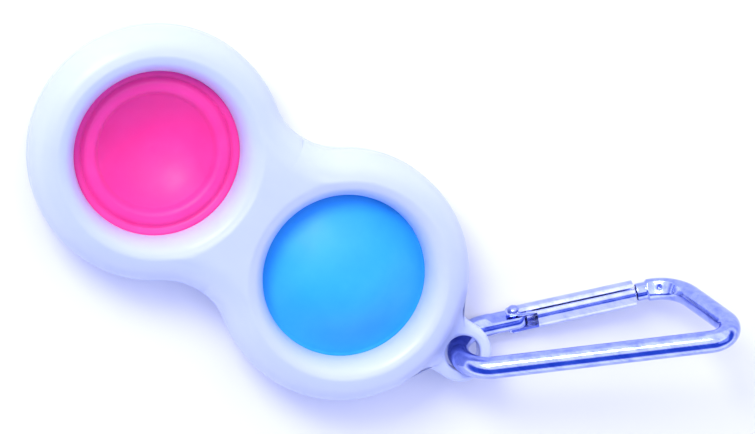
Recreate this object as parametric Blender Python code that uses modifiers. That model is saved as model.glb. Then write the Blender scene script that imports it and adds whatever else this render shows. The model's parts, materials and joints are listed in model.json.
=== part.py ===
"""Two-bubble pop keychain: a hollow two-part frame, two silicone domes and a small sprung clip.

Metres, +Z up. The frame lies on its back on z = 0, +X runs from the pink dome to the blue dome and
the ear, and the origin is midway between the domes.
"""

import math

import bmesh
import bpy
from mathutils import Matrix, Vector

for old in list(bpy.data.objects):
    bpy.data.objects.remove(old)

MM = 0.001
GAP = 0.3 * MM  # clearance between neighbouring pieces

# Frame
FRAME_T = 14.0 * MM
MID_Z = FRAME_T / 2
DOME_X = 20.35 * MM  # dome centres at -X and +X
LOBE_R = 22.65 * MM
NECK_R = 12.8 * MM  # concave fillet between the lobes
EDGE_R = 5.5 * MM  # rounding of the outer edge
WALL = 1.8 * MM

# Dome openings and the groove that holds the domes' flanges
HOLE_R = 14.75 * MM
CREST_R = 18.4 * MM
GROOVE_R = 17.3 * MM
GROOVE_HALF = 1.3 * MM
HOLE_WALL_R = 18.9 * MM

# Ear
EAR_X = DOME_X + 26.5 * MM
EAR_R = 5.4 * MM
EAR_T = 4.2 * MM
EAR_EDGE_R = 1.1 * MM
EAR_HOLE_R = 3.25 * MM
EAR_FILLET_R = 2.0 * MM

# Pins and sockets that join the shells: at the neck, and round the outside of each dome
NECK_PIN_Y = 9.2 * MM
RING_PIN_R = 20.0 * MM
RING_PIN_DEG = 62.0
NECK_PIN = (1.3 * MM, 2.7 * MM, 0.9 * MM)  # pin radius, socket radius, how far its root is under the face
RING_PIN = (0.6 * MM, 1.4 * MM, 2.7 * MM)
PIN_REACH = 2.6 * MM  # how far a pin passes the parting plane

# Domes
DOME_RISE = 5.2 * MM  # middle of the crown above or below the flange
DOME_WALL = 1.2 * MM
DOME_BASE_R = 12.8 * MM
DOME_POWER = 2.4
FLANGE_R = GROOVE_R - GAP
FLANGE_HALF = GROOVE_HALF - GAP
RIM_R = 13.1 * MM
CROWN_R = 10.6 * MM

# Clip: its own plane holds U, along the spine, and V, from the spine to the gate
ROD_R = 2.0 * MM
CLIP_YAW = math.radians(42.7)
CLIP_PITCH = math.radians(12.9)
CLIP_ROLL = math.radians(22.2)
CLIP_IN_HOLE = Vector((-0.32, -0.49, 0.0)) * MM  # offset of the rod from the middle of the ear's hole
CLIP_HOLE_V = 5.72 * MM
CLIP_FAR_U = 48.8 * MM
EAR_BEND_R = 6.36 * MM
FAR_BEND_R = 3.5 * MM
NOSE_BEND_R = 8.0 * MM
FAR_SIDE_ANGLE = math.radians(122.9)
HINGE_U = 10.6 * MM
HINGE_V = 13.49 * MM
GATE_ANGLE = math.radians(9.1)
GATE_LENGTH = 22.3 * MM
GATE_SIDE = 4.2 * MM
GATE_CORNER_R = 1.4 * MM
GATE_SHEET = 0.45 * MM
CHEEK_HALF = 1.3 * MM
OUTER_SLOT = 2.4 * MM
WINDOW_END = 4.1 * MM
SEAM_WIDTH = 0.3 * MM
SEAM_OFFSET = -0.75 * MM
TANG_HALF = 1.2 * MM
TANG_START = -3.4 * MM  # along the gate's line, from the hinge
TANG_END = 1.9 * MM
NOSE_NECK = 1.8 * MM
NOSE_NECK_SCALE = 0.8
RIVET_R = 0.6 * MM
RIVET_HEAD_R = 1.25 * MM
RIVET_HEAD_T = 0.5 * MM
SPRING_R = 0.3 * MM

# Fineness
ARC_STEP = math.radians(10.0)
TURN_STEPS = 40
ROD_SIDES = 3

COLOURS = {
    "white": ((0.80, 0.82, 0.90, 1.0), 0.28, 0.0),
    "pink": ((0.93, 0.09, 0.50, 1.0), 0.48, 0.0),
    "blue": ((0.06, 0.50, 0.95, 1.0), 0.45, 0.0),
    "aluminium": ((0.72, 0.73, 0.80, 1.0), 0.25, 1.0),
    "steel": ((0.60, 0.61, 0.66, 1.0), 0.30, 1.0),
}

parts = bpy.data.collections.new("pop_keychain")
cutters = bpy.data.collections.new("cutters")
for collection in (parts, cutters):
    bpy.context.scene.collection.children.link(collection)


def add_object(name, mesh, colour=None):
    """Links a part, or a cutter if it has no colour."""
    obj = bpy.data.objects.new(name, mesh)
    if colour is None:
        cutters.objects.link(obj)
        obj.hide_render = True
        obj.display_type = "WIRE"
        return obj
    parts.objects.link(obj)
    rgba, roughness, metallic = COLOURS[colour]
    material = bpy.data.materials.new(name)
    material.use_nodes = True
    shader = material.node_tree.nodes["Principled BSDF"]
    shader.inputs["Base Color"].default_value = rgba
    shader.inputs["Roughness"].default_value = roughness
    shader.inputs["Metallic"].default_value = metallic
    mesh.materials.append(material)
    mesh.shade_smooth()
    mesh.set_sharp_from_angle(angle=math.radians(35))
    return obj


def boolean(obj, operation, *others):
    """Adds one Boolean modifier for each of the other objects."""
    for other in others:
        modifier = obj.modifiers.new(operation.lower(), "BOOLEAN")
        modifier.operation = operation
        modifier.object = other


def arc(centre, radius, start, end):
    """Points from the start angle to the end angle, both included."""
    count = max(2, math.ceil(abs(end - start) / ARC_STEP))
    return [
        Vector((centre[0] + radius * math.cos(a), centre[1] + radius * math.sin(a)))
        for a in (start + (end - start) * i / count for i in range(count + 1))
    ]


def mesh_from_curve(name, curve, matrix=Matrix.Identity(4)):
    """The welded mesh of a curve, in place."""
    holder = bpy.data.objects.new(name, curve)
    bpy.context.scene.collection.objects.link(holder)
    evaluated = holder.evaluated_get(bpy.context.evaluated_depsgraph_get())
    mesh = bpy.data.meshes.new_from_object(evaluated)
    bpy.data.objects.remove(holder)
    shape = bmesh.new()
    shape.from_mesh(mesh)
    bmesh.ops.remove_doubles(shape, verts=shape.verts, dist=1e-6)
    bmesh.ops.recalc_face_normals(shape, faces=shape.faces)
    shape.transform(matrix)
    shape.to_mesh(mesh)
    shape.free()
    return mesh


def poly_curve(name, points, cyclic, dimensions):
    """A curve of one straight-sided spline."""
    curve = bpy.data.curves.new(name, "CURVE")
    curve.dimensions = dimensions
    spline = curve.splines.new("POLY")
    spline.points.add(len(points) - 1)
    for target, point in zip(spline.points, points):
        target.co = Vector(point).to_3d().to_4d()
    spline.use_cyclic_u = cyclic
    return curve


def slab_mesh(name, points, thickness, edge_r, middle_z):
    """A flat outline with rounded edges, thickness overall, centred on middle_z."""
    curve = poly_curve(name, points, True, "2D")
    curve.fill_mode = "BOTH"
    curve.extrude = thickness / 2 - edge_r
    curve.bevel_depth = edge_r
    curve.bevel_resolution = 2
    curve.offset = -edge_r
    return mesh_from_curve(name, curve, Matrix.Translation((0, 0, middle_z)))


def turned(name, profile, closed, colour=None, steps=TURN_STEPS):
    """A profile of (radius, height) turned about Z; it runs down its outer side."""
    mesh = bpy.data.meshes.new(name)
    edges = [(i, i + 1) for i in range(len(profile) - 1)]
    if closed:
        edges.append((len(profile) - 1, 0))
    mesh.from_pydata([(r, 0.0, z) for r, z in profile], edges, [])
    obj = add_object(name, mesh, colour)
    screw = obj.modifiers.new("turn", "SCREW")
    screw.steps = steps
    screw.render_steps = steps
    screw.use_merge_vertices = True
    screw.merge_threshold = 0.00001
    screw.use_smooth_shade = True
    return obj


def cylinder(name, radius, low, high, at=(0.0, 0.0), segments=24, matrix=Matrix.Identity(4)):
    """A cylinder along the matrix's Z, from low to high, with no corner on its own X axis."""
    shape = bmesh.new()
    skew = Matrix.Rotation(0.37 * math.tau / segments, 4, "Z")
    place = matrix @ Matrix.Translation((at[0], at[1], (low + high) / 2)) @ skew
    bmesh.ops.create_cone(
        shape, cap_ends=True, segments=segments, radius1=radius, radius2=radius, depth=high - low, matrix=place
    )
    mesh = bpy.data.meshes.new(name)
    shape.to_mesh(mesh)
    shape.free()
    return add_object(name, mesh)


def box(name, low, high, matrix=Matrix.Identity(4), corner_r=0.0, colour=None):
    """A box between two corners; corner_r rounds its edges along X."""
    shape = bmesh.new()
    low, high = Vector(low), Vector(high)
    size = Matrix.Diagonal((*(high - low), 1.0))
    bmesh.ops.create_cube(shape, size=1.0, matrix=Matrix.Translation((low + high) / 2) @ size)
    if corner_r:
        along = [e for e in shape.edges if abs(e.verts[0].co.x - e.verts[1].co.x) > (high.x - low.x) / 2]
        bmesh.ops.bevel(shape, geom=along, offset=corner_r, segments=4, profile=0.5, affect="EDGES")
    shape.transform(matrix)
    mesh = bpy.data.meshes.new(name)
    shape.to_mesh(mesh)
    shape.free()
    return add_object(name, mesh, colour)


# ---------------------------------------------------------------- frame


def frame_outline(inset):
    """The figure of eight, moved inwards by inset: two lobes joined by concave arcs."""
    reach = LOBE_R + NECK_R
    neck_y = math.sqrt(reach**2 - DOME_X**2)
    meet = math.atan2(neck_y, DOME_X)  # direction from a lobe's centre to the neck arc's centre
    lobe, neck = LOBE_R - inset, NECK_R + inset
    points = arc((DOME_X, 0.0), lobe, meet - math.pi, math.pi - meet)
    points += arc((0.0, neck_y), neck, -meet, meet - math.pi)[1:-1]
    points += arc((-DOME_X, 0.0), lobe, meet, 2 * math.pi - meet)
    points += arc((0.0, -neck_y), neck, math.pi - meet, meet)[1:-1]
    return points


def ear_outline():
    """The ear's round end, its fillets into the lobe, and a root inside the lobe's wall."""
    spacing = EAR_X - DOME_X
    to_lobe, to_ear = LOBE_R + EAR_FILLET_R, EAR_R + EAR_FILLET_R
    along = (spacing**2 + to_lobe**2 - to_ear**2) / (2 * spacing)
    across = math.sqrt(to_lobe**2 - along**2)
    fillet = Vector((DOME_X + along, across))
    ear_angle = math.atan2(across, along - spacing)
    lobe_angle = math.atan2(across, along)
    upper = arc(fillet, EAR_FILLET_R, ear_angle - math.pi, lobe_angle - math.pi)
    root = LOBE_R - 1.4 * WALL
    upper.append(Vector((DOME_X + root * math.cos(lobe_angle), root * math.sin(lobe_angle))))
    lower = [Vector((p.x, -p.y)) for p in reversed(upper)]
    return arc((EAR_X, 0.0), EAR_R, -ear_angle, ear_angle)[1:-1] + upper + lower


def flare(side):
    """The opening's rounded lip, from the groove's edge (side 1) or to it (side -1), as (radius, height)."""
    depth = MID_Z - GROOVE_HALF
    angles = [math.radians(a) for a in (0, 18, 36, 54, 72)]
    lip = [
        (CREST_R - (CREST_R - HOLE_R) * math.cos(a), side * (GROOVE_HALF + depth * math.sin(a))) for a in angles
    ]
    lip.append((CREST_R + 0.25 * MM, side * (MID_Z + 0.3 * MM)))
    return lip


def opening_cutter(name, x):
    """What a dome takes out of both shells: the flared opening and the flange's groove."""
    top = [(0.0, MID_Z + 0.3 * MM)] + list(reversed(flare(1)))
    groove = [(GROOVE_R, GROOVE_HALF), (GROOVE_R, -GROOVE_HALF)]
    bottom = flare(-1) + [(0.0, -MID_Z - 0.3 * MM)]
    cutter = turned(name, top + groove + bottom, closed=False)
    cutter.location = (x, 0.0, MID_Z)
    return cutter


def pin_places():
    """Every pin as (x, y, sizes)."""
    places = [(0.0, side * NECK_PIN_Y, NECK_PIN) for side in (-1, 1)]
    for lobe in (-1, 1):
        for side in (-1, 1):
            angle = side * math.radians(RING_PIN_DEG)
            x = lobe * (DOME_X + RING_PIN_R * math.cos(angle))
            places.append((x, RING_PIN_R * math.sin(angle), RING_PIN))
    return places


def cavity_cutter():
    """The hollow between the outer wall and the two dome openings' walls."""
    mesh = slab_mesh("cavity", frame_outline(WALL), FRAME_T - 2 * WALL, EDGE_R - WALL, MID_Z)
    cavity = add_object("cavity", mesh)
    for side, tag in ((-1, "pink"), (1, "blue")):
        wall = cylinder("opening_wall_" + tag, HOLE_WALL_R, -MM, FRAME_T + MM, (side * DOME_X, 0.0), TURN_STEPS)
        boolean(cavity, "DIFFERENCE", wall)
    return cavity


def make_shells():
    """The front and back halves of the frame, each hollow, with pins in front and sockets behind."""
    cavity = cavity_cutter()
    ear = add_object("ear", slab_mesh("ear", ear_outline(), EAR_T, EAR_EDGE_R, MID_Z))
    ear_hole = turned("ear_hole", ear_hole_profile(), closed=False, steps=28)
    ear_hole.location = (EAR_X, 0.0, MID_Z)
    openings = [opening_cutter("opening_" + tag, x) for tag, x in (("pink", -DOME_X), ("blue", DOME_X))]
    reach = 0.1
    halves = (
        ("front_shell", box("behind", (-reach, -reach, -reach), (reach, reach, MID_Z + GAP / 2))),
        ("back_shell", box("in_front", (-reach, -reach, MID_Z - GAP / 2), (reach, reach, reach))),
    )
    for name, waste in halves:
        mesh = slab_mesh(name, frame_outline(0.0), FRAME_T, EDGE_R, MID_Z)
        shell = add_object(name, mesh, "white")
        boolean(shell, "UNION", ear)
        boolean(shell, "DIFFERENCE", cavity, waste, *openings, ear_hole)
        for index, (x, y, (pin_r, socket_r, root)) in enumerate(pin_places()):
            if name == "front_shell":
                pin = cylinder(f"pin_{index}", pin_r, MID_Z - PIN_REACH, FRAME_T - root, (x, y), 12)
                boolean(shell, "UNION", pin)
                continue
            socket = cylinder(f"socket_{index}", socket_r, root, MID_Z - 2 * GAP, (x, y), 16)
            bore = cylinder(f"bore_{index}", pin_r + GAP, MID_Z - PIN_REACH - GAP, MID_Z + MM, (x, y), 12)
            boolean(shell, "UNION", socket)
            boolean(shell, "DIFFERENCE", bore)


def ear_hole_profile():
    """A round hole with softened rims."""
    half, soft = EAR_T / 2, EAR_EDGE_R * 0.8
    angles = [math.radians(a) for a in (0, 30, 60)]
    upper = [
        (EAR_HOLE_R + soft * (1 - math.cos(a)), half - soft + soft * math.sin(a)) for a in reversed(angles)
    ]
    upper.insert(0, (EAR_HOLE_R + soft * 0.9, half + 0.2 * MM))
    lower = [(r, -z) for r, z in reversed(upper)]
    return [(0.0, half + 0.2 * MM)] + upper + lower + [(0.0, -half - 0.2 * MM)]


# ---------------------------------------------------------------- domes


def dome_height(radius):
    """Middle of the dome's wall above the flange, popped out."""
    return DOME_RISE * (1 - (min(radius, DOME_BASE_R) / DOME_BASE_R) ** DOME_POWER)


def wall_profile(radii, side):
    """A closed strip of dome wall over these radii, as (radius, height); side -1 is pushed in."""
    middle = [(r, side * dome_height(r)) for r in radii]
    upper = [(r, z + DOME_WALL / 2) for r, z in middle]
    lower = [(r, z - DOME_WALL / 2) for r, z in reversed(middle)]
    return upper + lower


def make_dome(tag, x, side):
    """One dome's three zones: the rim clamped in the frame, the skirt that rolls, and the crown that travels."""
    half, neck = FLANGE_HALF, DOME_WALL / 2
    rim = [
        (RIM_R, neck),
        (HOLE_R - GAP, neck),
        (HOLE_R + 2 * GAP, half),
        (FLANGE_R, half),
        (FLANGE_R, -half),
        (HOLE_R + 2 * GAP, -half),
        (HOLE_R - GAP, -neck),
        (RIM_R, -neck),
    ]
    skirt_low, skirt_high = CROWN_R + GAP, RIM_R - GAP
    skirt_radii = [skirt_low + (skirt_high - skirt_low) * i / 2 for i in range(3)]
    crown_radii = [CROWN_R * i / 5 for i in range(6)]
    pieces = (
        (f"{tag}_dome_rim", rim, True),
        (f"{tag}_dome_skirt", wall_profile(skirt_radii, side), True),
        (f"{tag}_dome_crown", wall_profile(crown_radii, side), False),
    )
    for name, profile, closed in pieces:
        piece = turned(name, profile, closed, tag)
        piece.location = (x, 0.0, MID_Z)


# ---------------------------------------------------------------- clip


def clip_matrix():
    """Takes (u, v, n) in the clip's plane to the row frame."""
    along = Vector(
        (
            math.cos(CLIP_YAW) * math.cos(CLIP_PITCH),
            math.sin(CLIP_YAW) * math.cos(CLIP_PITCH),
            math.sin(CLIP_PITCH),
        )
    )
    level = Vector((-math.sin(CLIP_YAW), math.cos(CLIP_YAW), 0.0))
    down = level.cross(along)
    across = down * math.cos(CLIP_ROLL) + level * math.sin(CLIP_ROLL)
    turn = Matrix((along, across, along.cross(across))).transposed().to_4x4()
    origin = Vector((EAR_X, 0.0, MID_Z)) + CLIP_IN_HOLE - across * CLIP_HOLE_V
    return Matrix.Translation(origin) @ turn


def gate_matrix():
    """Takes (along the gate, across it, n) to the row frame, from the hinge's centre."""
    return clip_matrix() @ Matrix.Translation((HINGE_U, HINGE_V, 0.0)) @ Matrix.Rotation(GATE_ANGLE, 4, "Z")


def on_gate_line(distance):
    """A point of the gate's centre line in the clip's plane."""
    direction = Vector((math.cos(GATE_ANGLE), math.sin(GATE_ANGLE)))
    return Vector((HINGE_U, HINGE_V)) + direction * distance


def rod_path():
    """The rod's centre line in the clip's plane, from the nose round the far end and the ear to the tang."""
    far_centre = Vector((CLIP_FAR_U - FAR_BEND_R, FAR_BEND_R))
    side = Vector((math.cos(FAR_SIDE_ANGLE), math.sin(FAR_SIDE_ANGLE)))
    outward = Vector((side.y, -side.x))
    far_end = far_centre + outward * FAR_BEND_R
    # where the far side's line meets the gate's line
    gate = on_gate_line(1.0) - on_gate_line(0.0)
    away = on_gate_line(0.0) - far_end
    reach = away.cross(gate) / side.cross(gate)
    corner = far_end + side * reach
    turn = GATE_ANGLE + math.pi - FAR_SIDE_ANGLE
    nose_back = NOSE_BEND_R * math.tan(turn / 2)
    nose_centre = corner - gate * nose_back + Vector((gate.y, -gate.x)) * NOSE_BEND_R
    nose_tip = GATE_LENGTH + GAP * 1.2
    path = [on_gate_line(nose_tip), on_gate_line(nose_tip + NOSE_NECK), on_gate_line(nose_tip + NOSE_NECK + GAP)]
    path += arc(nose_centre, NOSE_BEND_R, GATE_ANGLE + math.pi / 2, FAR_SIDE_ANGLE - math.pi / 2)
    path += arc(far_centre, FAR_BEND_R, FAR_SIDE_ANGLE - math.pi / 2, -math.pi / 2)
    ear_centre = (EAR_BEND_R, EAR_BEND_R)
    path += arc(ear_centre, EAR_BEND_R, -math.pi / 2, GATE_ANGLE - 1.5 * math.pi)
    path.append(on_gate_line(TANG_END))
    return path


def make_clip_body():
    """The bent rod, flattened at the tang and narrowed at the nose's tip."""
    path = rod_path()
    curve = poly_curve("clip_body", [(p.x, p.y, 0.0) for p in path], False, "3D")
    curve.bevel_depth = ROD_R
    curve.bevel_resolution = ROD_SIDES
    curve.use_fill_caps = True
    for point in curve.splines[0].points[:2]:
        point.radius = NOSE_NECK_SCALE
    body = add_object("clip_body", mesh_from_curve("clip_body", curve, clip_matrix()), "aluminium")
    wide = 2 * ROD_R
    for side in (-1, 1):
        low, high = sorted((side * TANG_HALF, side * wide))
        flat = box(f"tang_flat_{side}", (TANG_START, -wide, low), (wide, wide, high), gate_matrix())
        boolean(body, "DIFFERENCE", flat)
    hole = cylinder("tang_hole", RIVET_R + GAP, -wide, wide, segments=16, matrix=gate_matrix())
    boolean(body, "DIFFERENCE", hole)


def make_clip_gate():
    """A rolled sheet tube with a seam, a window by the hinge and two round cheeks."""
    place = gate_matrix()
    half, inner = GATE_SIDE / 2, GATE_SIDE / 2 - GATE_SHEET
    far = GATE_LENGTH + MM
    gate = box("clip_gate", (0.0, -half, -half), (GATE_LENGTH, half, half), place, GATE_CORNER_R, "aluminium")
    cheeks = cylinder("cheeks", CHEEK_HALF + 0.15 * MM, -half, half, matrix=place)
    bore = box("gate_bore", (-far, -inner, -inner), (far, inner, inner), place, GATE_CORNER_R - GATE_SHEET)
    outer_slot = box("outer_slot", (-far, CHEEK_HALF, -far), (OUTER_SLOT, far, far), place)
    window = box("window", (-far, -far, -far), (WINDOW_END, -CHEEK_HALF, far), place)
    seam_low = (OUTER_SLOT, SEAM_OFFSET - SEAM_WIDTH / 2, 0.0)
    seam = box("seam", seam_low, (far, SEAM_OFFSET + SEAM_WIDTH / 2, far), place)
    hole = cylinder("cheek_hole", RIVET_R + GAP, -far, far, segments=16, matrix=place)
    boolean(gate, "UNION", cheeks)
    boolean(gate, "DIFFERENCE", bore, outer_slot, window, seam, hole)


def make_rivet():
    """The hinge pin with a low head at each end."""
    place = gate_matrix()
    face = GATE_SIDE / 2 + GAP
    end = face + RIVET_HEAD_T
    profile = [
        (0.0, end),
        (RIVET_HEAD_R * 0.7, end),
        (RIVET_HEAD_R, face + RIVET_HEAD_T * 0.4),
        (RIVET_HEAD_R, face),
        (RIVET_R, face),
        (RIVET_R, -face),
        (RIVET_HEAD_R, -face),
        (RIVET_HEAD_R, -face - RIVET_HEAD_T * 0.4),
        (RIVET_HEAD_R * 0.7, -end),
        (0.0, -end),
    ]
    rivet = turned("gate_rivet", profile, False, "steel", steps=20)
    rivet.matrix_world = place


def make_spring():
    """A bent wire inside the gate that holds it closed."""
    points = [(3.4, -0.7, 0.0), (5.0, -0.2, 0.0), (7.5, 0.7, 0.0), (9.5, 1.2, 0.0), (11.0, 1.2, 0.0)]
    curve = poly_curve("gate_spring", [Vector(p) * MM for p in points], False, "3D")
    curve.bevel_depth = SPRING_R
    curve.bevel_resolution = 1
    curve.use_fill_caps = True
    add_object("gate_spring", mesh_from_curve("gate_spring", curve, gate_matrix()), "steel")


make_shells()
make_dome("pink", -DOME_X, -1)
make_dome("blue", DOME_X, 1)
make_clip_body()
make_clip_gate()
make_rivet()
make_spring()
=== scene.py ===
"""Looks of the two-bubble pop keychain: frame, silicone domes, bent-rod clip, floor, light and camera."""

import json
import math

import bmesh
import bpy
from mathutils import Matrix, Quaternion, Vector


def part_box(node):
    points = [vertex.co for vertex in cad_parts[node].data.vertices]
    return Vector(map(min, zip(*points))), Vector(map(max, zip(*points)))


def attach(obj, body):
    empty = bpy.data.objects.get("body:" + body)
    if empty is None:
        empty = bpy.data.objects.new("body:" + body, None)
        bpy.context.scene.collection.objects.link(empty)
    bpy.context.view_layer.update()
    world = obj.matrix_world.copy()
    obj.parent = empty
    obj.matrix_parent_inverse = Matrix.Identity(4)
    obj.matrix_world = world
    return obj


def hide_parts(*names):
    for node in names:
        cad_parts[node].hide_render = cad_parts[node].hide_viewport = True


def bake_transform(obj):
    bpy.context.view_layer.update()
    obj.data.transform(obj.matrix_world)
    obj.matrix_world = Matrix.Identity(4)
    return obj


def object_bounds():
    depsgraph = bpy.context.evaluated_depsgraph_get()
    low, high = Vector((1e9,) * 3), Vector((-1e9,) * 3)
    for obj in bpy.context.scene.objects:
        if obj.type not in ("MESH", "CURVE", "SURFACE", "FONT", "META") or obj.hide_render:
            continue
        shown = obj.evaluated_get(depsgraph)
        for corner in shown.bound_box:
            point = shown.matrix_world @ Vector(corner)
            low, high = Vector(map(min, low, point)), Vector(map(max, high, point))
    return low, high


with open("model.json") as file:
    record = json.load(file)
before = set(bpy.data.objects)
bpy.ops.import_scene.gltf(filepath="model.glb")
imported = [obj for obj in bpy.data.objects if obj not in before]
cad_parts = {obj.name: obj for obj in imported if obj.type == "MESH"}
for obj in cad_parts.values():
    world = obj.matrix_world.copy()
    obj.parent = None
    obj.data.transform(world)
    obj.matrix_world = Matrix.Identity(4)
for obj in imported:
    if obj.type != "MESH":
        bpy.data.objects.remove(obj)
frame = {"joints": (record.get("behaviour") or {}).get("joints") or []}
cad_box = [list(corner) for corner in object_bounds()]

MM = 0.001
SAME_PLACE = 1e-7  # two points this close, in metres, are one

# ---------------------------------------------------------------- sizes

# Taken from the CAD
shell_low, shell_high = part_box("front_shell")
back_low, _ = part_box("back_shell")
pink_low, pink_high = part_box("pink_dome_rim")
blue_low, blue_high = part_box("blue_dome_rim")
joints = {joint["name"]: joint for joint in frame["joints"]}
TOP_Z, BOTTOM_Z = shell_high.z, back_low.z
MID_Z = (TOP_Z + BOTTOM_Z) / 2
HALF_T = (TOP_Z - BOTTOM_Z) / 2
DOME_X = (blue_low.x + blue_high.x - pink_low.x - pink_high.x) / 4
LOBE_R = -shell_low.x - DOME_X
EAR_X = joints["clip_swing"]["pos_m"][0]
EAR_R = shell_high.x - EAR_X
DOME_RISE = joints["pink_pop"]["range_m"][1] / 2

# Frame
NECK_R = 12.8 * MM  # concave fillet between the lobes
EDGE_R = 5.5 * MM
HOLE_R = 14.75 * MM
CREST_R = 18.4 * MM
LIP_Z = 1.3 * MM
LIP_CHAMFER = 0.15 * MM
GROOVE_R = 17.3 * MM
CREASE = 0.9 * MM  # how softly the lip meets the outer shoulder
CREASE_FADE = 6.0  # how quickly that softness goes where both near the flat face
PARTING = 0.05 * MM  # half the width of the line between the two shells
PARTING_CHAMFER = 0.12 * MM
PAST_EDGE = 2.0 * MM  # how far past the lobe's radius the edge is looked for
PAST_NECK = 8.0 * MM  # the same on the side where the neck's fillet carries the edge further out
LOBE_SPOKE_DEG = 2.0
LOBE_STEPS = 34

# Ear
EAR_HALF = 2.1 * MM
EAR_HOLE_R = 3.25 * MM
EAR_EDGE_R = 1.2 * MM
EAR_RIM_R = 0.55 * MM
EAR_BLEND = 2.6 * MM  # how softly the ear's sides and face run into the lobe
EAR_ROOT = 2.2 * MM  # how far the ear reaches inside the lobe's wall
EAR_SINK = 0.04 * MM  # how far the ear's face ends up under the lobe's
EAR_SINK_DEPTH = (0.2 * MM, 1.2 * MM)  # inside the lobe's edge: not sunk before, fully sunk after
EAR_REACH = 12.0 * MM  # the longest spoke from the middle of the ear's hole
EAR_SPOKE_DEG = 1.0
EAR_STEPS = 30

# Search for edges and heights
RAY_STEP = 0.1 * MM  # how finely a spoke is searched for its first way out
HALVINGS = 30

# Domes
DOME_WALL = 1.2 * MM
DOME_POWER = 2.4
DOME_COLUMNS = 128
DOME_EDGE_R = 16.8 * MM
OUT_BASE_R = 14.4 * MM
OUT_FLARE = 1.5
IN_BASE_R = 11.2 * MM
IN_POWER = 2.5
IN_SOFT = 0.25 * MM  # the bowl is averaged over this much either way, so its edge is soft
TIP_RISE, TIP_WIDTH = 0.05 * MM, 0.5 * MM  # the moulding's mark at the tip
CREST_RISE = 0.55 * MM
CREST_INNER = (10.6 * MM, 11.5 * MM)
CREST_OUTER = (12.3 * MM, 13.3 * MM)
FLANGE_STEP = 0.07 * MM
FLANGE_STEPS = ((13.5 * MM, 13.7 * MM), (14.1 * MM, 14.3 * MM))
SEAT_RISE = 0.55 * MM
SEAT = (13.3 * MM, 14.6 * MM)

# Clip, in its own plane: U along the spine, V from the spine to the gate, N out of the plane
ROD_R = 2.0 * MM
ROD_SIDES = 96
CLIP_YAW = math.radians(42.7)
CLIP_PITCH = math.radians(12.9)
CLIP_ROLL = math.radians(22.2)
CLIP_IN_HOLE = Vector((-0.32, -0.49, 0.0)) * MM
CLIP_HOLE_V = 5.72 * MM
CLIP_FAR_U = 48.8 * MM
EAR_BEND_R = 6.36 * MM
FAR_BEND_R = 3.5 * MM
NOSE_BEND_R = 8.0 * MM
FAR_SIDE_ANGLE = math.radians(122.9)
HINGE = Vector((10.6, 13.49)) * MM

# Nose: a thinner end that faces the gate, then a coined flat with one round tool mark
NOSE_GAP = 0.36 * MM  # from the gate's end to the nose's
NOSE_THIN = (1.8 * MM, 2.3 * MM)  # from the nose: thin before, the rod's full radius after
NOSE_THIN_SCALE = 0.8
NOSE_ROUND = 0.25 * MM
NOSE_ZONE = 30.0 * MM  # the flat is looked for only this far from the nose
FLAT_FACING = math.radians(134.0)  # from outwards in the plane toward +N
FLAT_MIDDLE, FLAT_REACH, FLAT_DEPTH = 4.75 * MM, 3.55 * MM, 0.42 * MM
FLAT_EDGE = 0.10 * MM
DENT_MIDDLE, DENT_R, DENT_DEPTH = 4.5 * MM, 0.7 * MM, 0.34 * MM

# Tang: the rod's flattened end at the hinge, placed along the gate's line
TANG_HALF = 1.2 * MM
TANG_TAPER = (-5.4 * MM, -3.8 * MM)
TANG_EDGE = 0.15 * MM
TANG_ROUND = 0.35 * MM  # centre of the rounded end
GATE_LINE_NEAR = 0.1 * MM  # the rod's path counts as on the gate's line when it is this close to it
GATE_LINE_END = 5.0 * MM  # and no further along than this, which leaves the nose out

# Gate
GATE_ANGLE = math.radians(9.1)
GATE_LENGTH = 22.3 * MM
GATE_HALF = 2.1 * MM
GATE_CORNER_R = 1.4 * MM
GATE_SHEET = 0.45 * MM
GATE_CORNER_STEPS = 8
GATE_COLUMN = 0.11 * MM  # widest face round the tube
GATE_NEAR_ROWS, GATE_FAR_ROWS = 12, 40  # up to the window's end, and beyond it
CHEEK_HALF = 1.3 * MM
CHEEK_R = 1.45 * MM
OUTER_SLOT = 2.4 * MM
WINDOW_END = 4.1 * MM
SEAM_V = -0.75 * MM
SEAM_HALF = 0.22 * MM
SEAM_OPENS = (0.4 * MM, 1.2 * MM)  # along the gate: closed before, open after
LIP_DROP = 0.50 * MM  # how far the seam's edges roll in, and over what width
LIP_ROLL = 0.50 * MM

# Rivet and spring
RIVET_R = 0.6 * MM
RIVET_HEAD_R = 1.05 * MM
RIVET_FACE = 2.12 * MM  # from the middle to the underside of a head
RIVET_RIM = 0.12 * MM
RIVET_RISE = 0.74 * MM
TURNED_COLUMNS = 56
SPRING_R = 0.3 * MM
SPRING_SIDES = 16
SPRING_STEPS = 10  # between two points of the route
SPRING_ROUTE = ((3.4, -0.7), (5.0, -0.2), (7.5, 0.7), (9.5, 1.2), (11.0, 1.2))  # mm along and across the gate

# ---------------------------------------------------------------- helpers


def smooth(low, high, value):
    """0 below low, 1 above high, eased between."""
    t = min(1.0, max(0.0, (value - low) / (high - low)))
    return t * t * (3 - 2 * t)


def bump(value, centre, width):
    """A soft hump of height 1."""
    return math.exp(-(((value - centre) / width) ** 2))


def soft_min(a, b, softness):
    """The smaller of two values, with a rounded crease."""
    h = max(softness - abs(a - b), 0.0) / softness
    return min(a, b) - h * h * softness / 4


def clustered(count):
    """Steps from 0 to 1, closer together at both ends."""
    return [(1 - math.cos(math.pi * i / count)) / 2 for i in range(count + 1)]


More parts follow.
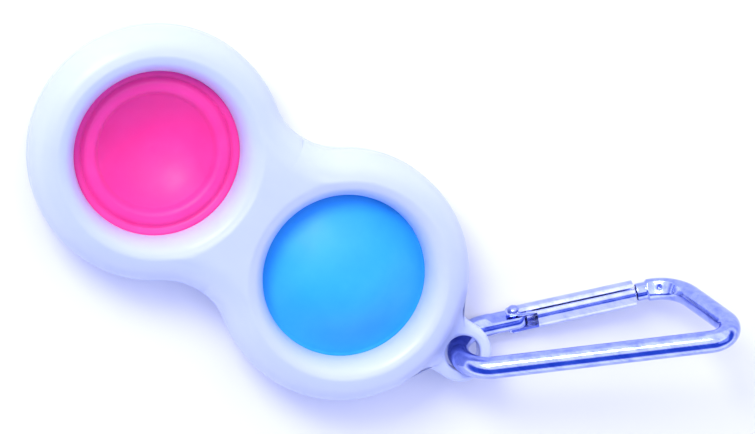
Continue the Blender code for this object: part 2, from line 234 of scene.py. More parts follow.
def new_object(name, vertices, faces, material, smooth_angle=None, weld=1e-6):
    """A mesh object at the origin, in the row frame."""
    mesh = bpy.data.meshes.new(name)
    mesh.from_pydata([tuple(v) for v in vertices], [], faces)
    shape = bmesh.new()
    shape.from_mesh(mesh)
    bmesh.ops.remove_doubles(shape, verts=shape.verts, dist=weld)
    bmesh.ops.dissolve_degenerate(shape, edges=shape.edges, dist=weld / 10)
    bmesh.ops.recalc_face_normals(shape, faces=shape.faces)
    shape.to_mesh(mesh)
    shape.free()
    mesh.shade_smooth()
    if smooth_angle is not None:
        mesh.set_sharp_from_angle(angle=math.radians(smooth_angle))
    mesh.materials.append(material)
    obj = bpy.data.objects.new(name, mesh)
    bpy.context.scene.collection.objects.link(obj)
    return obj


def grid_faces(rows, columns, closed, start=0):
    """Quads between successive rows of a grid of vertices."""
    faces = []
    for i in range(rows - 1):
        for j in range(columns if closed else columns - 1):
            k = (j + 1) % columns
            a, b = start + i * columns, start + (i + 1) * columns
            faces.append((a + j, a + k, b + k, b + j))
    return faces


def capped_tube(rows, sides):
    """Faces of a tube of vertex rings, closed at both ends."""
    last = (rows - 1) * sides
    return [*grid_faces(rows, sides, True), tuple(range(sides)), tuple(range(last, last + sides))]


def left_at(path, i):
    """Unit vector to the left of a plane path at one of its points."""
    way = (path[min(i + 1, len(path) - 1)] - path[max(i - 1, 0)]).normalized()
    return Vector((-way.y, way.x))


def thicken(obj, thickness, offset):
    """Gives a sheet its thickness."""
    modifier = obj.modifiers.new("thickness", "SOLIDIFY")
    modifier.thickness = thickness
    modifier.offset = offset


def place(piece, slot, body, *nodes):
    """Attaches a piece to the body it rides on and hides the CAD nodes it stands for; slot is not used."""
    if body is not None:
        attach(piece, body)
    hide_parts(*nodes)


# ---------------------------------------------------------------- materials


def colour_ramp(tree, source, stops):
    """A colour ramp from stops of (position, colour); gives its colour socket."""
    node = tree.nodes.new("ShaderNodeValToRGB")
    elements = node.color_ramp.elements
    elements[0].position, elements[0].color = stops[0][0], (*stops[0][1], 1.0)
    elements[1].position, elements[1].color = stops[-1][0], (*stops[-1][1], 1.0)
    for position, colour in stops[1:-1]:
        elements.new(position).color = (*colour, 1.0)
    tree.links.new(source, node.inputs["Fac"])
    return node.outputs["Color"]


class Shader:
    """A Principled material and short calls for its nodes."""

    def __init__(self, name, **values):
        self.material = bpy.data.materials.new(name)
        self.material.use_nodes = True
        self.tree = self.material.node_tree
        self.main = self.tree.nodes["Principled BSDF"]
        for key, value in values.items():
            self.main.inputs[key.replace("_", " ")].default_value = value
        self.where = self.tree.nodes.new("ShaderNodeTexCoord").outputs["Object"]

    def link(self, source, target):
        """Joins two sockets."""
        self.tree.links.new(source, target)

    def stretched(self, scale, rotation=(0.0, 0.0, 0.0)):
        """Object coordinates, turned and then scaled."""
        node = self.tree.nodes.new("ShaderNodeMapping")
        node.inputs["Rotation"].default_value = rotation
        node.inputs["Scale"].default_value = scale
        self.link(self.where, node.inputs["Vector"])
        return node.outputs["Vector"]

    def noise(self, scale, detail=3.0, roughness=0.5, where=None):
        """Fractal noise, scale in features per metre."""
        node = self.tree.nodes.new("ShaderNodeTexNoise")
        node.inputs["Scale"].default_value = scale
        node.inputs["Detail"].default_value = detail
        node.inputs["Roughness"].default_value = roughness
        self.link(where or self.where, node.inputs["Vector"])
        return node.outputs["Fac"]

    def tint(self, source, stops):
        """Base colour from a source, by a colour ramp."""
        self.link(colour_ramp(self.tree, source, stops), self.main.inputs["Base Color"])

    def polish(self, source, low, high):
        """Roughness from a noise, which mostly lies between 0.3 and 0.7."""
        node = self.tree.nodes.new("ShaderNodeMapRange")
        node.inputs["From Min"].default_value = 0.3
        node.inputs["From Max"].default_value = 0.7
        node.inputs["To Min"].default_value = low
        node.inputs["To Max"].default_value = high
        self.link(source, node.inputs["Value"])
        self.link(node.outputs["Result"], self.main.inputs["Roughness"])

    def relief(self, source, depth, below=None):
        """A bump of this depth, on top of another one if given."""
        node = self.tree.nodes.new("ShaderNodeBump")
        node.inputs["Strength"].default_value = 1.0
        node.inputs["Distance"].default_value = depth
        self.link(source, node.inputs["Height"])
        if below is not None:
            self.link(below, node.inputs["Normal"])
        self.link(node.outputs["Normal"], self.main.inputs["Normal"])
        return node.outputs["Normal"]

    def scatter(self, weight, radius, scale):
        """Light carried under the surface."""
        self.main.inputs["Subsurface Weight"].default_value = weight
        self.main.inputs["Subsurface Radius"].default_value = radius
        self.main.inputs["Subsurface Scale"].default_value = scale


WHITE_TONES = ((0.30, (0.500, 0.568, 0.85)), (0.70, (0.535, 0.603, 0.88)))
PINK_TONES = ((0.28, (0.96, 0.034, 0.29)), (0.52, (0.98, 0.046, 0.33)), (0.76, (1.0, 0.062, 0.37)))
BLUE_TONES = ((0.28, (0.020, 0.37, 0.92)), (0.52, (0.028, 0.41, 0.96)), (0.76, (0.045, 0.46, 1.0)))
ROD_TONES = ((0.32, (0.22, 0.28, 0.72)), (0.60, (0.37, 0.44, 0.86)))
SHEET_TONES = ((0.32, (0.36, 0.42, 0.82)), (0.60, (0.52, 0.58, 0.94)))
STEEL_TONES = ((0.3, (0.26, 0.31, 0.66)), (0.7, (0.38, 0.44, 0.84)))
FLOOR_TONES = ((0.3, (0.86, 0.865, 0.88)), (0.7, (0.88, 0.885, 0.90)))


def moulded_plastic():
    """Glossy white ABS: faint flow marks in the colour, fine orange peel, uneven polish."""
    s = Shader("white_abs", Specular_IOR_Level=0.5, IOR=1.50)
    s.tint(s.noise(38.0, 4.0, 0.55, s.stretched((1.0, 2.2, 1.0))), WHITE_TONES)
    s.polish(s.noise(140.0, 5.0), 0.30, 0.40)
    peel = s.relief(s.noise(700.0, 2.0), 0.005 * MM)
    s.relief(s.noise(3000.0, 2.0), 0.002 * MM, below=peel)
    s.scatter(0.18, (1.0, 1.0, 1.2), 1.1 * MM)
    return s.material


def silicone(name, tones, scatter_radius):
    """Satin silicone: mottled tint, matte bloom in patches, moulded grain, light carried inside."""
    s = Shader(name, IOR=1.42, Specular_IOR_Level=0.42, Sheen_Weight=0.12, Sheen_Roughness=0.45)
    s.tint(s.noise(70.0, 5.0, 0.6), tones)
    s.polish(s.noise(260.0, 4.0), 0.40, 0.54)
    grain = s.relief(s.noise(2600.0, 3.0), 0.012 * MM)
    s.relief(s.noise(7800.0, 2.0), 0.004 * MM, below=grain)
    s.scatter(0.12, scatter_radius, 0.7 * MM)
    return s.material


def drawn_aluminium(name, along, tones, rough):
    """Bright drawn aluminium: fine lines along the metal, a cloudy tumbled finish, small nicks."""
    s = Shader(name, Metallic=1.0)
    turn = Vector((1.0, 0.0, 0.0)).rotation_difference(Vector(along)).inverted().to_euler()
    lines = s.noise(420.0, 3.0, 0.6, s.stretched((0.06, 1.0, 1.0), rotation=turn))
    cloud = s.noise(620.0, 4.0, 0.65, s.stretched((0.35, 1.0, 1.0), rotation=turn))
    s.tint(cloud, tones)
    s.polish(cloud, *rough)
    fine = s.relief(lines, 0.002 * MM)
    s.relief(s.noise(1500.0, 3.0), 0.0012 * MM, below=fine)
    return s.material


def plated_steel():
    """Small plated steel pieces: darker than the aluminium, with a slightly grainy plate."""
    s = Shader("plated_steel", Metallic=1.0)
    cloud = s.noise(900.0, 4.0)
    s.tint(cloud, STEEL_TONES)
    s.polish(cloud, 0.20, 0.36)
    s.relief(s.noise(4200.0, 2.0), 0.0006 * MM)
    return s.material


white = moulded_plastic()
pink = silicone("pink_silicone", PINK_TONES, (1.0, 0.25, 0.5))
blue = silicone("blue_silicone", BLUE_TONES, (0.2, 0.5, 1.0))

# ---------------------------------------------------------------- frame: the two shells


NECK_Y = math.sqrt((LOBE_R + NECK_R) ** 2 - DOME_X**2)  # centre of the neck's fillet, on the Y axis
NECK_TURN = math.atan2(DOME_X, NECK_Y)


def frame_distance(x, y):
    """How far inside the frame's outline a point is: two circles joined by concave fillets."""
    x, y = abs(x), abs(y)
    if y < NECK_Y and math.atan2(x, NECK_Y - y) < NECK_TURN:
        return math.hypot(x, NECK_Y - y) - NECK_R
    return LOBE_R - math.hypot(x - DOME_X, y)


def ear_gap(x, y, z):
    """Below zero inside the right lobe and the straight-sided ear, which meet in one fillet."""
    radius = math.hypot(x - DOME_X, y) - (LOBE_R - EDGE_R)
    rise = max(0.0, z - (HALF_T - EDGE_R))
    lobe = math.hypot(max(0.0, radius), rise) - EDGE_R
    lug = (abs(y) if x < EAR_X else math.hypot(x - EAR_X, y)) - (EAR_R - EAR_EDGE_R)
    step = max(0.0, z - (EAR_HALF - EAR_EDGE_R))
    ear = math.hypot(max(0.0, lug), step) - EAR_EDGE_R
    return soft_min(lobe, ear, EAR_BLEND)


def rounded(distance, radius, top):
    """Height at a distance in from an edge that is rounded over."""
    reach = min(max(distance, 0.0), radius)
    return top - radius + math.sqrt(max(0.0, radius**2 - (radius - reach) ** 2))


def frame_height(x, y):
    """Height of the right lobe's face above the middle."""
    radius = math.hypot(x - DOME_X, y)
    reach = min(1.0, max(0.0, (CREST_R - radius) / (CREST_R - HOLE_R)))
    lip = LIP_Z + (HALF_T - LIP_Z) * math.sqrt(1 - reach * reach)
    edge = rounded(frame_distance(x, y), EDGE_R, HALF_T)
    # the crease fades out where both reach the flat face, so that stays at its full height
    crease = min(CREASE, CREASE_FADE * (2 * HALF_T - edge - lip))
    return soft_min(edge, lip, crease) if crease > 1e-9 else HALF_T


def ear_height(x, y):
    """Height of the ear's face above the middle; it sinks just under the lobe's own face."""
    low, high = 0.0, HALF_T
    for _ in range(HALVINGS):
        middle = (low + high) / 2
        low, high = (middle, high) if ear_gap(x, y, middle) <= 0 else (low, middle)
    from_hole = math.hypot(x - EAR_X, y) - EAR_HOLE_R
    if from_hole < EAR_RIM_R:
        low = min(low, rounded(from_hole, EAR_RIM_R, EAR_HALF))
    depth = LOBE_R - math.hypot(x - DOME_X, y)
    return low - EAR_SINK * smooth(*EAR_SINK_DEPTH, depth)


def ray_end(inside, start, limit):
    """Where a ray first leaves a shape: short steps to find the exit, then bisection."""
    low, high = start, min(start + RAY_STEP, limit)
    while inside(high):
        if high >= limit:
            return limit
        low, high = high, min(high + RAY_STEP, limit)
    for _ in range(HALVINGS):
        middle = (low + high) / 2
        low, high = (middle, high) if inside(middle) else (low, middle)
    return low


def spoke_angles(step, *breaks):
    """Angles right round, about a step apart, with every break exactly on one."""
    marks = sorted({0.0, 360.0, *breaks, *(360 - b for b in breaks)})
    angles = []
    for a, b in zip(marks, marks[1:]):
        count = max(1, round((b - a) / step))
        angles += [math.radians(a + (b - a) * i / count) for i in range(count)]
    return angles


def spoked_solid(centre_x, sign, angles, inner_r, limit, inside, height, under, steps):
    """Closed loops of vertices, one for each spoke: over the face, down the wall and back underneath."""
    vertices = []
    for angle in angles:
        across, along = math.sin(angle), sign * math.cos(angle)
        end = ray_end(lambda r: inside(centre_x + along * r, across * r), inner_r, limit(along))
        loop = []
        for t in clustered(steps):
            r = inner_r + (end - inner_r) * t
            loop.append((r, height(centre_x + along * r, across * r)))
        top = loop[-1][1]
        foot = PARTING + PARTING_CHAMFER
        loop += [(end, (top + foot) / 2), (end, foot), (end - PARTING_CHAMFER, PARTING)]
        loop += under
        vertices += [(centre_x + along * r, across * r, z) for r, z in loop]
    rows = len(angles)
    columns = len(vertices) // rows
    faces = grid_faces(rows, columns, True)
    last = (rows - 1) * columns
    faces += [(last + j, last + (j + 1) % columns, (j + 1) % columns, j) for j in range(columns)]
    return vertices, faces


def lobe_limit(along):
    """The furthest a spoke of the right lobe may go: the plane between the lobes, or past the edge."""
    return min(DOME_X / -along, LOBE_R + PAST_NECK) if along < 0 else LOBE_R + PAST_EDGE


NECK_DEG = math.degrees(math.atan2(NECK_Y - NECK_R, DOME_X))
MEET_DEG = math.degrees(math.atan2(NECK_Y, DOME_X))
lobe_vertices, lobe_faces = spoked_solid(
    DOME_X,
    -1,
    spoke_angles(LOBE_SPOKE_DEG, NECK_DEG, MEET_DEG),
    HOLE_R,
    lobe_limit,
    lambda x, y: frame_distance(x, y) > 0,
    frame_height,
    [(GROOVE_R, PARTING), (GROOVE_R, LIP_Z), (HOLE_R + LIP_CHAMFER, LIP_Z)],
    LOBE_STEPS,
)
# the faces on the plane between the lobes are left out, so that the two lobes join there
on_plane = {i for i, v in enumerate(lobe_vertices) if abs(v[0]) < SAME_PLACE}
lobe_faces = [f for f in lobe_faces if not all(i in on_plane for i in f)]


def ear_inside(x, y):
    """True on the ear and a little way inside the lobe's wall."""
    return ear_gap(x, y, 0.0) <= 0 and math.hypot(x - DOME_X, y) > LOBE_R - EAR_ROOT


ear_vertices, ear_faces = spoked_solid(
    EAR_X,
    1,
    spoke_angles(EAR_SPOKE_DEG),
    EAR_HOLE_R,
    lambda along: EAR_REACH,
    ear_inside,
    ear_height,
    [(EAR_HOLE_R + PARTING_CHAMFER, PARTING), (EAR_HOLE_R, PARTING + PARTING_CHAMFER)],
    EAR_STEPS,
)


def make_shell(name, side, material):
    """One half of the frame: both lobes and half of the ear; side -1 is the back."""
    vertices, faces = [], []
    for points, quads, mirror in (
        (lobe_vertices, lobe_faces, 1),
        (lobe_vertices, lobe_faces, -1),
        (ear_vertices, ear_faces, 1),
    ):
        start = len(vertices)
        vertices += [(mirror * x, y, MID_Z + side * z) for x, y, z in points]
        faces += [tuple(start + i for i in quad) for quad in quads]
    return new_object(name, vertices, faces, material, smooth_angle=50)


place(make_shell("frame_front", 1, white), "white_shell", "frame", "front_shell")
place(make_shell("frame_back", -1, white), "white_shell", "frame", "back_shell")

# ---------------------------------------------------------------- domes


def dome_middle(radius, side):
    """Middle of the dome's wall above the flange. Out, the wall rises smoothly from the flange; pushed in,
    it rolls over into a crest round a bowl, and the flange's fine steps show."""
    tip = TIP_RISE * bump(radius, 0.0, TIP_WIDTH)
    if side > 0:
        fall = min(1.0, radius / OUT_BASE_R) ** DOME_POWER
        return DOME_RISE * (1 - fall) ** OUT_FLARE + tip
    places = [max(radius + shift, 0.0) / IN_BASE_R for shift in (-IN_SOFT, 0.0, IN_SOFT)]
    bowl = sum(max(0.0, 1 - place**IN_POWER) for place in places) / 3
    crest = CREST_RISE * smooth(*CREST_INNER, radius) * (1 - smooth(*CREST_OUTER, radius))
    steps = FLANGE_STEP * sum(smooth(*step, radius) for step in FLANGE_STEPS)
    return crest - DOME_RISE * bowl - steps + SEAT_RISE * smooth(*SEAT, radius) + tip


def make_dome(name, x, side, material):
    """One moulded silicone bubble, from its tip to the flange held in the frame."""
    # rings close together at the tip and from the crest outwards
    radii = [r * MM for r in (0.15, 0.3, 0.5, 0.8, 1.2)]
    radii += [(1.8 + 0.6 * i) * MM for i in range(15)]
    radii += [(10.5 + 0.1 * i) * MM for i in range(43)]
    radii += [15.2 * MM, 16.0 * MM, DOME_EDGE_R]
    vertices = [(x, 0.0, MID_Z + dome_middle(0.0, side))]
    for radius in radii:
        z = MID_Z + dome_middle(radius, side)
        for j in range(DOME_COLUMNS):
            a = math.tau * j / DOME_COLUMNS
            vertices.append((x + radius * math.cos(a), radius * math.sin(a), z))
    faces = [(0, 1 + j, 1 + (j + 1) % DOME_COLUMNS) for j in range(DOME_COLUMNS)]
    faces += grid_faces(len(radii), DOME_COLUMNS, True, start=1)
    dome = new_object(name, vertices, faces, material, weld=SAME_PLACE)
    if dome.data.polygons[0].normal.z < 0:
        dome.data.flip_normals()
    tag = name.split("_")[0]
    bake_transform(dome)
    place(dome, tag + "_silicone", None, *(f"{tag}_dome_{zone}" for zone in ("rim", "skirt", "crown")))
    thicken(dome, DOME_WALL, 0.0)


make_dome("pink_bubble", -DOME_X, -1, pink)
make_dome("blue_bubble", DOME_X, 1, blue)

# ---------------------------------------------------------------- clip


def clip_matrix():
    """Takes (u, v, n) in the clip's plane to the row frame."""
    along = Vector(
        (
            math.cos(CLIP_YAW) * math.cos(CLIP_PITCH),
            math.sin(CLIP_YAW) * math.cos(CLIP_PITCH),
            math.sin(CLIP_PITCH),
        )
    )
    level = Vector((-math.sin(CLIP_YAW), math.cos(CLIP_YAW), 0.0))
    down = level.cross(along)
    across = down * math.cos(CLIP_ROLL) + level * math.sin(CLIP_ROLL)
    turn = Matrix((along, across, along.cross(across))).transposed().to_4x4()
    origin = Vector((EAR_X, 0.0, MID_Z)) + CLIP_IN_HOLE - across * CLIP_HOLE_V
    return Matrix.Translation(origin) @ turn


CLIP = clip_matrix()
GATE = CLIP @ Matrix.Translation((HINGE.x, HINGE.y, 0.0)) @ Matrix.Rotation(GATE_ANGLE, 4, "Z")
GATE_WAY = Vector((math.cos(GATE_ANGLE), math.sin(GATE_ANGLE)))


def add_arc(path, centre, radius, start, end, step):
    """Adds an arc's points to a path."""
    count = max(2, math.ceil(abs(end - start) * radius / step))
    for i in range(count + 1):
        a = start + (end - start) * i / count
        path.append(Vector((centre[0] + radius * math.cos(a), centre[1] + radius * math.sin(a))))


def add_line(path, end, step):
    """Adds a straight run to a path."""
    start = path[-1].copy()
    count = max(1, math.ceil((end - start).length / step))
    path += [start.lerp(end, i / count) for i in range(1, count + 1)]


def rod_path():
    """The rod's centre line, from the nose round the far end and the ear to the tang."""
    far_centre = Vector((CLIP_FAR_U - FAR_BEND_R, FAR_BEND_R))
    side = Vector((math.cos(FAR_SIDE_ANGLE), math.sin(FAR_SIDE_ANGLE)))
    far_end = far_centre + Vector((side.y, -side.x)) * FAR_BEND_R
    away = HINGE - far_end
    corner = far_end + side * (away.cross(GATE_WAY) / side.cross(GATE_WAY))
    turn = GATE_ANGLE + math.pi - FAR_SIDE_ANGLE
    nose_start = corner - GATE_WAY * NOSE_BEND_R * math.tan(turn / 2)
    nose_centre = nose_start + Vector((GATE_WAY.y, -GATE_WAY.x)) * NOSE_BEND_R
    path = [HINGE + GATE_WAY * (GATE_LENGTH + NOSE_GAP)]
    far_angle = FAR_SIDE_ANGLE - math.pi / 2
    ear_end = GATE_ANGLE - 1.5 * math.pi
    add_line(path, nose_start, step=0.12 * MM)
    add_arc(path, nose_centre, NOSE_BEND_R, GATE_ANGLE + math.pi / 2, far_angle, step=0.14 * MM)
    add_line(path, far_end, step=0.5 * MM)
    add_arc(path, far_centre, FAR_BEND_R, far_angle, -math.pi / 2, step=0.3 * MM)
    add_line(path, Vector((EAR_BEND_R, 0.0)), step=0.8 * MM)
    add_arc(path, (EAR_BEND_R, EAR_BEND_R), EAR_BEND_R, -math.pi / 2, ear_end, step=0.3 * MM)
    add_line(path, HINGE + GATE_WAY * TANG_ROUND, step=0.15 * MM)
    add_line(path, HINGE + GATE_WAY * (TANG_ROUND + ROD_R), step=0.06 * MM)
    return [p for i, p in enumerate(path) if i == 0 or (p - path[i - 1]).length > SAME_PLACE]


def dent(s, theta):
    """Depth of the round tool mark pressed in near the middle of the coined flat."""
    around = math.remainder(theta - FLAT_FACING, math.tau) * ROD_R
    q = math.hypot(s - DENT_MIDDLE, around) / DENT_R
    return DENT_DEPTH * (1 - q * q) ** 2 if q < 1 else 0.0


def coined(radius, theta, s):
    """A point of the rod's outline near the nose, pressed in where the flat is."""
    toward = radius * math.cos(theta - FLAT_FACING)
    aside = radius * math.sin(theta - FLAT_FACING)
    reach = (s - FLAT_MIDDLE) / FLAT_REACH
    if abs(reach) < 1 and toward > 0:
        limit = ROD_R - FLAT_DEPTH * math.sqrt(1 - reach * reach) - dent(s, theta)
        toward = soft_min(toward, limit, FLAT_EDGE)
    v = toward * math.cos(FLAT_FACING) - aside * math.sin(FLAT_FACING)
    n = toward * math.sin(FLAT_FACING) + aside * math.cos(FLAT_FACING)
    return v, n


def flattened(radius, theta, gate_s):
    """A point of the rod's outline away from the nose: round, then flat and round-ended at the tang."""
    half = ROD_R + (TANG_HALF - ROD_R) * smooth(*TANG_TAPER, gate_s)
    n = radius * math.sin(theta)
    n = math.copysign(soft_min(abs(n), half, TANG_EDGE), n)
    past = max(0.0, gate_s - TANG_ROUND) / ROD_R
    return radius * math.cos(theta) * math.sqrt(max(0.0, 1 - past * past)), n


def rod_radius(s):
    """The rod's radius at s from the nose: the end is rounded and thinner."""
    end = 1 - min(1.0, s / NOSE_ROUND)
    scale = NOSE_THIN_SCALE + (1 - NOSE_THIN_SCALE) * smooth(*NOSE_THIN, s)
    return ROD_R * scale - NOSE_ROUND * (1 - math.sqrt(1 - end**2))


def make_rod(material):
    """The bent rod: thinner and coined at the nose, flattened to a round-ended tang at the hinge."""
    path = rod_path()
    vertices, s = [], 0.0
    for i, point in enumerate(path):
        s += (point - path[i - 1]).length if i else 0.0
        # with U to the right and V upwards the rod runs clockwise, so its left side faces out of the clip
        outward = left_at(path, i)
        gate_s = (point - HINGE).dot(GATE_WAY)
        on_gate_line = abs((point - HINGE).cross(GATE_WAY)) < GATE_LINE_NEAR and gate_s < GATE_LINE_END
        for j in range(ROD_SIDES):
            theta = math.tau * j / ROD_SIDES
            if on_gate_line or s >= NOSE_ZONE:
                v, n = flattened(rod_radius(s), theta, gate_s if on_gate_line else -math.inf)
            else:
                v, n = coined(rod_radius(s), theta, s)
            flat = point + outward * v
            vertices.append(CLIP @ Vector((flat.x, flat.y, n)))
    return new_object("clip_rod", vertices, capped_tube(len(path), ROD_SIDES), material, smooth_angle=40)


def gate_columns():
    """The tube's outline as (v, n), from one side of the seam right round to the other."""
    flat = GATE_HALF - GATE_CORNER_R
    outline = []
    corners = ((flat, flat, 90), (flat, -flat, 0), (-flat, -flat, -90), (-flat, flat, -180))
    for v, n, start in corners:
        for i in range(GATE_CORNER_STEPS + 1):
            a = math.radians(start - 90 * i / GATE_CORNER_STEPS)
            outline.append((v + GATE_CORNER_R * math.cos(a), n + GATE_CORNER_R * math.sin(a)))
    # the seam's far edge is on the last corner's arc, so the outline stops there
    edge_v = SEAM_V - SEAM_HALF
    edge_n = flat + math.sqrt(GATE_CORNER_R**2 - (edge_v + flat) ** 2)
    kept = [(v, n) for v, n in outline if not (n > flat and v < 0 and v > edge_v)]
    points = [(SEAM_V + SEAM_HALF, GATE_HALF), *kept, (edge_v, edge_n)]
    columns = []
    for a, b in zip(points, points[1:]):
        count = max(1, math.ceil(math.dist(a, b) / GATE_COLUMN))
        for i in range(count):
            columns.append((a[0] + (b[0] - a[0]) * i / count, a[1] + (b[1] - a[1]) * i / count))
    return columns + [points[-1]]


def gate_start(v):
    """Where the sheet begins along the gate: round cheeks, a slot outside, a longer window inside."""
    if abs(v) <= CHEEK_HALF:
        return -math.sqrt(CHEEK_R**2 - v * v)
    return OUTER_SLOT if v > 0 else WINDOW_END


def gate_along(start, row):
    """Place of a row along the gate: near rows from start to the window's end, far rows from there on."""
    if row <= GATE_NEAR_ROWS:
        return start + (WINDOW_END - start) * (row / GATE_NEAR_ROWS)
    return WINDOW_END + (GATE_LENGTH - WINDOW_END) * (row - GATE_NEAR_ROWS) / GATE_FAR_ROWS


def make_gate(material):
    """The rolled sheet tube, with its seam and its cheeks."""
    columns = gate_columns()
    rows = GATE_NEAR_ROWS + GATE_FAR_ROWS + 1
    vertices = []
    for row in range(rows):
        for j, (v, n) in enumerate(columns):
            g = gate_along(gate_start(v), row)
            closed = 1 - smooth(*SEAM_OPENS, g)
            if n > 0:
                n -= LIP_DROP * bump(v, SEAM_V, LIP_ROLL) * (1 - closed)
            if j in (0, len(columns) - 1):
                v += (SEAM_V - v) * closed
                n += (GATE_HALF - n) * closed
            vertices.append(GATE @ Vector((g, v, n)))
    tube = new_object("clip_gate_tube", vertices, grid_faces(rows, len(columns), False), material)
    # all faces look away from the tube's axis, so that the sheet thickens inwards
    axis = (GATE.to_3x3() @ Vector((1.0, 0.0, 0.0))).normalized()
    facing = 0.0
    for face in tube.data.polygons:
        out = face.center - GATE.translation
        facing += (out - axis * out.dot(axis)).dot(face.normal) * face.area
    if facing < 0:
        tube.data.flip_normals()
    thicken(tube, GATE_SHEET, -1.0)
    solid = bpy.data.meshes.new_from_object(tube.evaluated_get(bpy.context.evaluated_depsgraph_get()))
    tube.modifiers.clear()
    tube.data = solid
    solid.set_sharp_from_angle(angle=math.radians(38))
    return tube


def make_rivet(material):
    """The hinge pin with a low domed head at each end, turned about the gate's Z."""
    head = [(0.0, RIVET_FACE + RIVET_RISE)]
    for degrees in range(9, 91, 9):
        a = math.radians(degrees)
        z = RIVET_FACE + RIVET_RIM + (RIVET_RISE - RIVET_RIM) * math.cos(a)
        head.append((RIVET_HEAD_R * math.sin(a), z))
    head += [(RIVET_HEAD_R, RIVET_FACE), (RIVET_R, RIVET_FACE)]
    profile = head + [(r, -z) for r, z in reversed(head)]
    vertices = []
    for r, z in profile:
        for j in range(TURNED_COLUMNS):
            a = math.tau * j / TURNED_COLUMNS
            vertices.append(GATE @ Vector((r * math.cos(a), r * math.sin(a), z)))
    faces = grid_faces(len(profile), TURNED_COLUMNS, True)
    return new_object("clip_rivet", vertices, faces, material, smooth_angle=45)


def smooth_route(points, steps):
    """A Catmull-Rom curve through the points."""
    ends = [points[0] * 2 - points[1], *points, points[-1] * 2 - points[-2]]
    path = []
    for a, b, c, d in zip(ends, ends[1:], ends[2:], ends[3:]):
        bend = a * 2 - b * 5 + c * 4 - d
        twist = b * 3 - a - c * 3 + d
        for i in range(steps):
            t = i / steps
            path.append((b * 2 + (c - a) * t + bend * t * t + twist * t**3) / 2)
    return [*path, points[-1]]


def make_spring(material):
    """The bent wire inside the gate that holds it closed."""
    path = smooth_route([Vector(point) * MM for point in SPRING_ROUTE], SPRING_STEPS)
    vertices = []
    for i, point in enumerate(path):
        left = left_at(path, i)
        for j in range(SPRING_SIDES):
            a = math.tau * j / SPRING_SIDES
            flat = point + left * SPRING_R * math.cos(a)
            vertices.append(GATE @ Vector((flat.x, flat.y, SPRING_R * math.sin(a))))
    faces = capped_tube(len(path), SPRING_SIDES)
    return new_object("clip_gate_spring", vertices, faces, material, smooth_angle=40)


spine_way = CLIP.to_3x3() @ Vector((1.0, 0.0, 0.0))
gate_way = GATE.to_3x3() @ Vector((1.0, 0.0, 0.0))
rod_metal = drawn_aluminium("rod_aluminium", spine_way, ROD_TONES, (0.08, 0.20))
sheet_metal = drawn_aluminium("sheet_aluminium", gate_way, SHEET_TONES, (0.12, 0.26))
steel = plated_steel()
place(make_rod(rod_metal), "clip_metal", "clip", "clip_body")
place(make_gate(sheet_metal), "clip_metal", "gate", "clip_gate")
place(make_rivet(steel), "small_steel", "clip", "gate_rivet")
place(make_spring(steel), "small_steel", "gate", "gate_spring")

# ---------------------------------------------------------------- floor, light and camera

# The camera comes from a fit to the photograph: both rings and holes, the ear's hole, points along the clip.
# The fit was also pulled toward a guessed distance.
CAMERA_AT = Vector((-0.19948, 0.059192, 0.760317))
CAMERA_TURN = Quaternion((0.94653745, -0.07020735, -0.12598285, 0.28855868))
CAMERA_LENS, CAMERA_SENSOR = 210.819, 36.0
CAMERA_NEAR = 10.0 * MM
UP = CAMERA_TURN @ Vector((0.0, 1.0, 0.0))
RIGHT = CAMERA_TURN @ Vector((1.0, 0.0, 0.0))
BACK = CAMERA_TURN @ Vector((0.0, 0.0, 1.0))

FLOOR_REACH = 2.0
FLOOR_DROP = 0.10 * MM  # the clip's rod reaches just below the CAD's lowest point
LIT_POINT = Vector((0.015, 0.01, 0.0))
ROOM_COLOUR = (0.95, 0.93, 1.0, 1.0)
ROOM_STRENGTH = 1.80
STRIP_COLOUR = (0.03, 0.085, 0.42, 1.0)
STRIP_TILT = math.radians(57.0)  # the direction across the strip leans this far from UP toward BACK
STRIP_EDGES = ((0.34, 0.0), (0.45, 1.0), (0.80, 1.0), (0.86, 0.0))  # (lean, amount) across the strip
STRIP_ABOVE = ((0.56, 0.0), (0.66, 1.0))  # and upwards, which keeps the strip overhead


def make_floor():
    """A plain pale floor under the object."""
    s = Shader("pale_floor", Specular_IOR_Level=0.1)
    s.tint(s.noise(9.0, 2.0), FLOOR_TONES)
    s.polish(s.noise(60.0, 2.0), 0.75, 0.85)
    z = min(0.0, cad_box[0][2]) - FLOOR_DROP
    corners = [(x * FLOOR_REACH, y * FLOOR_REACH, z) for x, y in ((-1, -1), (1, -1), (1, 1), (-1, 1))]
    floor = new_object("floor", corners, [(0, 1, 2, 3)], s.material)
    if floor.data.polygons[0].normal.z < 0:
        floor.data.flip_normals()


def add_light(name, toward, distance, size, watts, colour):
    """A square softbox that faces the object from this direction."""
    data = bpy.data.lights.new(name, "AREA")
    data.shape, data.size, data.energy, data.color = "SQUARE", size, watts, colour
    light = bpy.data.objects.new(name, data)
    way = toward.normalized()
    light.location = LIT_POINT + way * distance
    light.rotation_mode = "QUATERNION"
    light.rotation_quaternion = way.to_track_quat("Z", "Y")
    bpy.context.scene.collection.objects.link(light)


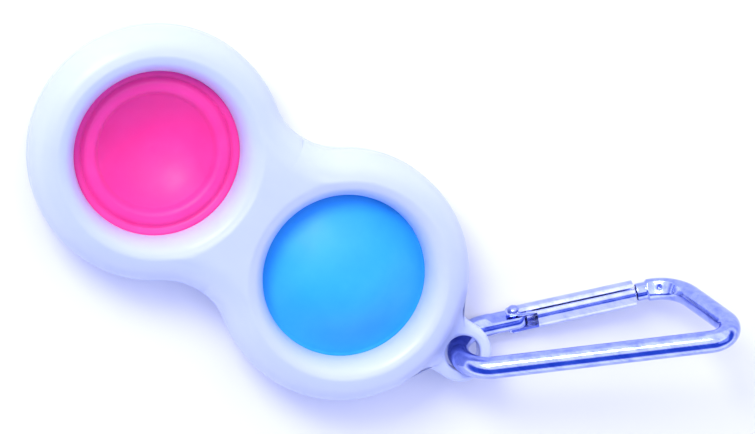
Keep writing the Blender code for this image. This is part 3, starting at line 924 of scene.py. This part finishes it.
def make_world():
    """A pale room with a soft deep blue strip overhead on one side, which the metal shows as dark bands."""
    world = bpy.data.worlds.new("studio")
    world.use_nodes = True
    tree = world.node_tree
    out = tree.nodes["Background"]
    where = tree.nodes.new("ShaderNodeTexCoord").outputs["Generated"]

    def mask(direction, stops):
        """Grey by a view direction's lean, which runs from 0, away from this direction, to 1, along it."""
        dot = tree.nodes.new("ShaderNodeVectorMath")
        dot.operation = "DOT_PRODUCT"
        dot.inputs[1].default_value = direction
        lean = tree.nodes.new("ShaderNodeMapRange")
        lean.inputs["From Min"].default_value = -1.0
        tree.links.new(where, dot.inputs[0])
        tree.links.new(dot.outputs["Value"], lean.inputs["Value"])
        return colour_ramp(tree, lean.outputs["Result"], [(at, (value,) * 3) for at, value in stops])

    across = BACK * math.sin(STRIP_TILT) + UP * math.cos(STRIP_TILT)
    both = tree.nodes.new("ShaderNodeMath")
    both.operation = "MULTIPLY"
    mix = tree.nodes.new("ShaderNodeMix")
    mix.data_type = "RGBA"
    colours = [socket for socket in mix.inputs if socket.type == "RGBA"]
    colours[0].default_value = ROOM_COLOUR
    colours[1].default_value = STRIP_COLOUR
    tree.links.new(mask(across, STRIP_EDGES), both.inputs[0])
    tree.links.new(mask(Vector((0.0, 0.0, 1.0)), STRIP_ABOVE), both.inputs[1])
    tree.links.new(both.outputs["Value"], mix.inputs["Factor"])
    tree.links.new(next(o for o in mix.outputs if o.type == "RGBA"), out.inputs["Color"])
    out.inputs["Strength"].default_value = ROOM_STRENGTH
    bpy.context.scene.world = world


def make_camera():
    """The camera, at the photograph's angle."""
    data = bpy.data.cameras.new("camera")
    data.lens, data.sensor_width, data.clip_start = CAMERA_LENS, CAMERA_SENSOR, CAMERA_NEAR
    camera = bpy.data.objects.new("camera", data)
    camera.location = CAMERA_AT
    camera.rotation_mode = "QUATERNION"
    camera.rotation_quaternion = CAMERA_TURN
    bpy.context.scene.collection.objects.link(camera)
    bpy.context.scene.camera = camera


make_floor()
make_world()
key_way = UP * 0.43 + BACK * 0.86 - RIGHT * 0.25
fill_way = BACK * 0.8 + RIGHT * 0.75 - UP * 0.1
add_light("key", key_way, distance=1.5, size=0.55, watts=11.5, colour=(1.0, 0.99, 1.0))
add_light("fill", fill_way, distance=1.6, size=1.1, watts=2.0, colour=(0.95, 0.96, 1.0))
make_camera()
bpy.context.scene.view_settings.view_transform = "Standard"

bpy.context.view_layer.update()
